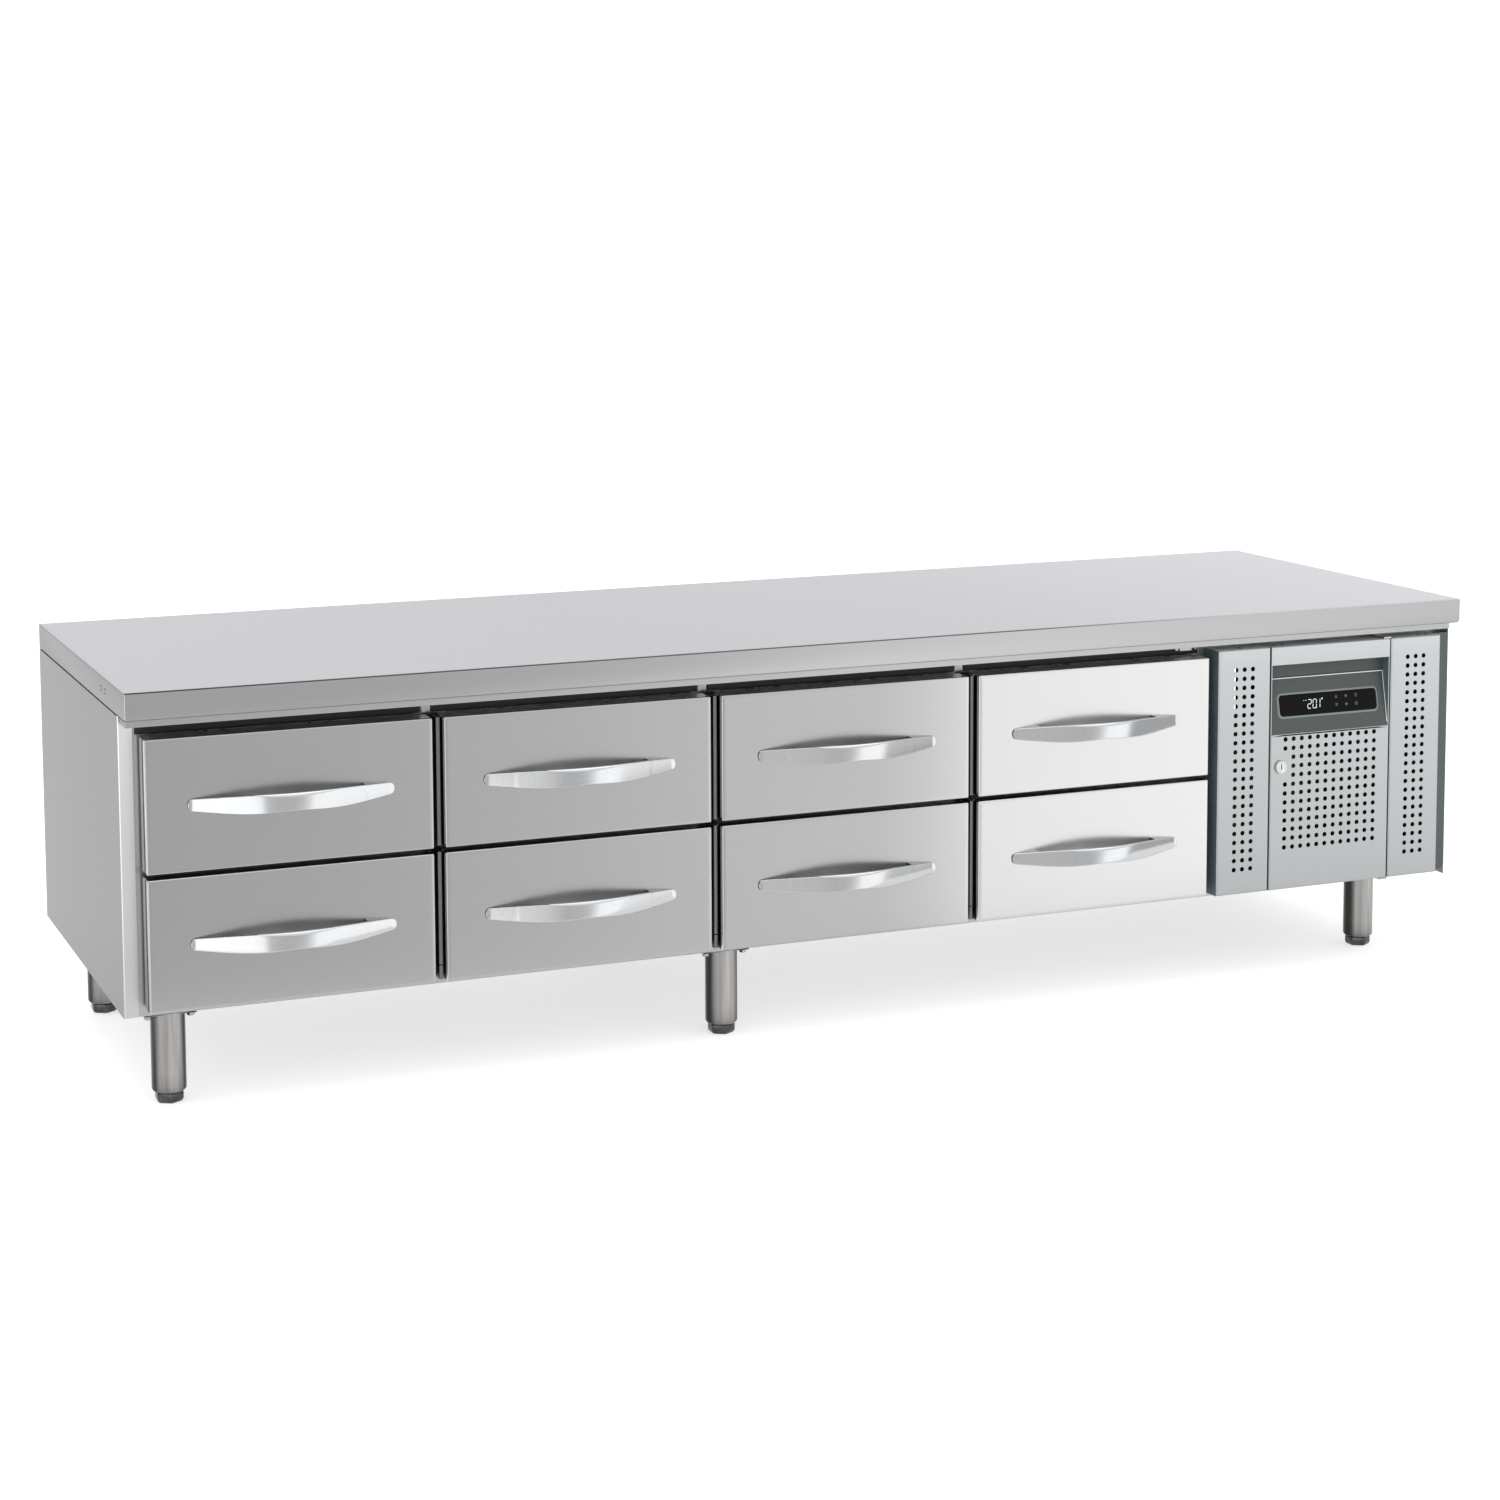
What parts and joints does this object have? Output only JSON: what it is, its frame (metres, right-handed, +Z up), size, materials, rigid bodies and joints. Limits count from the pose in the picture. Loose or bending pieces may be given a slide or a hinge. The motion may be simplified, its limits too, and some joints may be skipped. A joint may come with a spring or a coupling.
{
  "type": "refrigerated chef base",
  "caption": "Low refrigerated counter with pan drawers on roller runners, a machine compartment with a perforated cover, a flat worktop and screw feet.",
  "frame": {"origin": "on the floor under the centre of the box that holds the whole object", "axes": "+X to the machine compartment's end, drawer fronts face -Y, +Z up"},
  "size_m": [2.23, 0.7264, 0.61],
  "materials": {
    "worktop_steel": "brushed along its length",
    "cabinet_steel": "brushed",
    "front_steel": "brushed across",
    "cover_steel": "fine satin",
    "handle_aluminium": "satin anodised",
    "gasket_rubber": "matt",
    "runner_steel": "plain rolled",
    "leg_steel": "brushed tube",
    "foot_steel": "dull turned",
    "grey_plastic": "fine grain",
    "dark_glass": "gloss",
    "lock_metal": "nickel plated",
    "black_enamel": "semi-gloss",
    "machine_metal": "mill finish",
    "fan_plastic": "matt"
  },
  "bodies": {
    "cabinet": {"worktop": "worktop_steel", "cabinet_body": "cabinet_steel", "runner_rack_1": "runner_steel", "runner_rack_2": "runner_steel", "runner_rack_3": "runner_steel", "leg_front_left": "leg_steel", "leg_front_middle": "leg_steel", "leg_front_right": "leg_steel", "leg_rear_left": "leg_steel", "leg_rear_middle": "leg_steel", "leg_rear_right": "leg_steel", "grille_left": "cover_steel", "grille_right": "cover_steel", "compressor": "black_enamel", "condenser": "machine_metal", "evaporator": "machine_metal"},
    "service_door": {"service_door": "cover_steel", "control_bezel": "grey_plastic", "controller": "dark_glass"},
    "door_lock": {"door_lock": "lock_metal"},
    "condenser_fan": {"condenser_fan": "fan_plastic"},
    "evaporator_fan": {"evaporator_fan": "fan_plastic"},
    "drawer_1_upper": {"drawer_1_upper_front": "front_steel", "drawer_1_upper_handle": "handle_aluminium", "drawer_1_upper_gasket": "gasket_rubber", "drawer_1_upper_frame": "runner_steel"},
    "drawer_1_lower": {"drawer_1_lower_front": "front_steel", "drawer_1_lower_handle": "handle_aluminium", "drawer_1_lower_gasket": "gasket_rubber", "drawer_1_lower_frame": "runner_steel"},
    "drawer_2_upper": {"drawer_2_upper_front": "front_steel", "drawer_2_upper_handle": "handle_aluminium", "drawer_2_upper_gasket": "gasket_rubber", "drawer_2_upper_frame": "runner_steel"},
    "drawer_2_lower": {"drawer_2_lower_front": "front_steel", "drawer_2_lower_handle": "handle_aluminium", "drawer_2_lower_gasket": "gasket_rubber", "drawer_2_lower_frame": "runner_steel"},
    "drawer_3_upper": {"drawer_3_upper_front": "front_steel", "drawer_3_upper_handle": "handle_aluminium", "drawer_3_upper_gasket": "gasket_rubber", "drawer_3_upper_frame": "runner_steel"},
    "drawer_3_lower": {"drawer_3_lower_front": "front_steel", "drawer_3_lower_handle": "handle_aluminium", "drawer_3_lower_gasket": "gasket_rubber", "drawer_3_lower_frame": "runner_steel"},
    "drawer_4_upper": {"drawer_4_upper_front": "front_steel", "drawer_4_upper_handle": "handle_aluminium", "drawer_4_upper_gasket": "gasket_rubber", "drawer_4_upper_frame": "runner_steel"},
    "drawer_4_lower": {"drawer_4_lower_front": "front_steel", "drawer_4_lower_handle": "handle_aluminium", "drawer_4_lower_gasket": "gasket_rubber", "drawer_4_lower_frame": "runner_steel"},
    "foot_front_left": {"foot_front_left": "foot_steel"},
    "foot_front_middle": {"foot_front_middle": "foot_steel"},
    "foot_front_right": {"foot_front_right": "foot_steel"},
    "foot_rear_left": {"foot_rear_left": "foot_steel"},
    "foot_rear_middle": {"foot_rear_middle": "foot_steel"},
    "foot_rear_right": {"foot_rear_right": "foot_steel"}
  },
  "joints": [
    {"name": "drawer_1_upper_slide", "type": "slide", "parent": "cabinet", "child": "drawer_1_upper", "axis": [0, -1, 0], "range_m": [0, 0.42]},
    {"name": "drawer_1_lower_slide", "type": "slide", "parent": "cabinet", "child": "drawer_1_lower", "axis": [0, -1, 0], "range_m": [0, 0.42]},
    {"name": "drawer_2_upper_slide", "type": "slide", "parent": "cabinet", "child": "drawer_2_upper", "axis": [0, -1, 0], "range_m": [0, 0.42]},
    {"name": "drawer_2_lower_slide", "type": "slide", "parent": "cabinet", "child": "drawer_2_lower", "axis": [0, -1, 0], "range_m": [0, 0.42]},
    {"name": "drawer_3_upper_slide", "type": "slide", "parent": "cabinet", "child": "drawer_3_upper", "axis": [0, -1, 0], "range_m": [0, 0.42]},
    {"name": "drawer_3_lower_slide", "type": "slide", "parent": "cabinet", "child": "drawer_3_lower", "axis": [0, -1, 0], "range_m": [0, 0.42]},
    {"name": "drawer_4_upper_slide", "type": "slide", "parent": "cabinet", "child": "drawer_4_upper", "axis": [0, -1, 0], "range_m": [0, 0.42]},
    {"name": "drawer_4_lower_slide", "type": "slide", "parent": "cabinet", "child": "drawer_4_lower", "axis": [0, -1, 0], "range_m": [0, 0.42]},
    {"name": "foot_front_left_screw", "type": "slide", "parent": "cabinet", "child": "foot_front_left", "axis": [0, 0, -1], "range_m": [0, 0.04]},
    {"name": "foot_front_middle_screw", "type": "slide", "parent": "cabinet", "child": "foot_front_middle", "axis": [0, 0, -1], "range_m": [0, 0.04]},
    {"name": "foot_front_right_screw", "type": "slide", "parent": "cabinet", "child": "foot_front_right", "axis": [0, 0, -1], "range_m": [0, 0.04]},
    {"name": "foot_rear_left_screw", "type": "slide", "parent": "cabinet", "child": "foot_rear_left", "axis": [0, 0, -1], "range_m": [0, 0.04]},
    {"name": "foot_rear_middle_screw", "type": "slide", "parent": "cabinet", "child": "foot_rear_middle", "axis": [0, 0, -1], "range_m": [0, 0.04]},
    {"name": "foot_rear_right_screw", "type": "slide", "parent": "cabinet", "child": "foot_rear_right", "axis": [0, 0, -1], "range_m": [0, 0.04]},
    {"name": "service_door_hinge", "type": "hinge", "parent": "cabinet", "child": "service_door", "pos_m": [0.9801, -0.31845, 0.349], "axis": [0, 0, 1], "range_deg": [0, 100]},
    {"name": "door_lock_turn", "type": "hinge", "parent": "service_door", "child": "door_lock", "pos_m": [0.7749, -0.32295, 0.34935], "axis": [0, -1, 0], "range_deg": [0, 90]},
    {"name": "condenser_fan_spin", "type": "hinge", "parent": "cabinet", "child": "condenser_fan", "pos_m": [0.87, -0.16905, 0.2873], "axis": [0, 1, 0], "continuous": true},
    {"name": "evaporator_fan_spin", "type": "hinge", "parent": "cabinet", "child": "evaporator_fan", "pos_m": [0.678, 0.15525, 0.39737], "axis": [1, 0, 0], "continuous": true}
  ]
}
